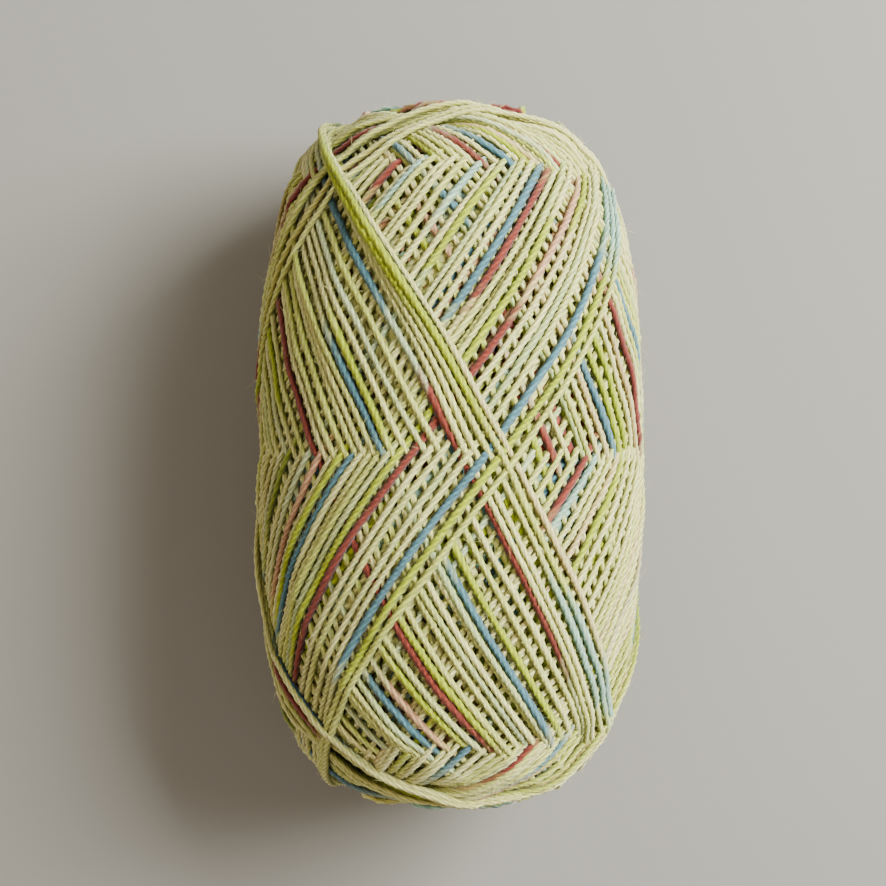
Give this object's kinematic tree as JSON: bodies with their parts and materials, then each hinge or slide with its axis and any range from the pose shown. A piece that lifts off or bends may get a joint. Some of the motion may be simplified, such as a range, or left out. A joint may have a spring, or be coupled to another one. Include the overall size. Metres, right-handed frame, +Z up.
{
  "type": "wound wool yarn skein",
  "caption": "Long machine-wound pull skein of fine variegated wool yarn, lying on its side, with crossing bundles of yarn over its belly and a hollow at each end.",
  "frame": {"origin": "middle of the flat spot that the skein lies on, at the bottom centre of its box", "axes": "+Y along the skein from end to end, +Z up from the flat spot, +X across the skein"},
  "size_m": [0.0644, 0.1188, 0.0581],
  "materials": {
    "wool_yarn": "matte plied wool yarn, cream with lime, blue and rust lengths"
  },
  "bodies": {
    "root": {"wound_skein": "wool_yarn"}
  },
  "joints": []
}
